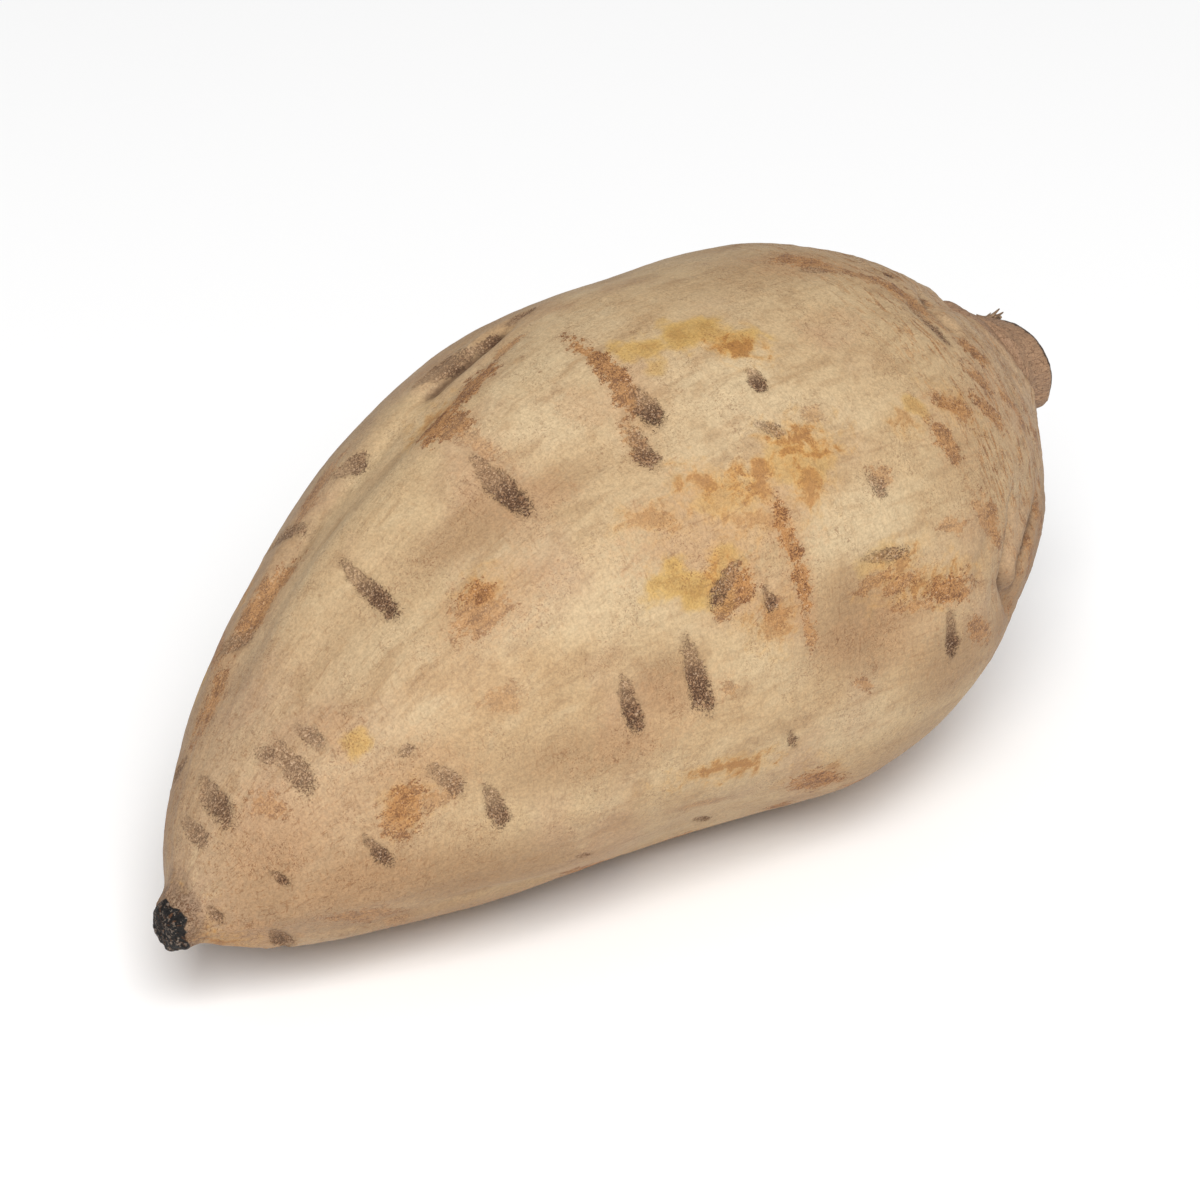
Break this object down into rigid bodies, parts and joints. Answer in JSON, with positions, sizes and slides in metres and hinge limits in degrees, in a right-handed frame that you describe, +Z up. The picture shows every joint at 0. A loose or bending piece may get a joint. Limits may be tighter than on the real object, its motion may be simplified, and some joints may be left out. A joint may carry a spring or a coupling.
{
  "type": "sweet potato",
  "caption": "Whole raw sweet potato lying on its side, fat in the middle, with a thin root tail at one end and a short cut stem stub at the other.",
  "frame": {"origin": "on the ground, under the middle of the root's bounding box", "axes": "+X along the root from its tail to its cut stem, +Z up from the surface that it lies on"},
  "size_m": [0.1486, 0.0786, 0.0734],
  "materials": {
    "skin": "matte"
  },
  "bodies": {
    "root": {"sweet_potato": "skin"}
  },
  "joints": []
}
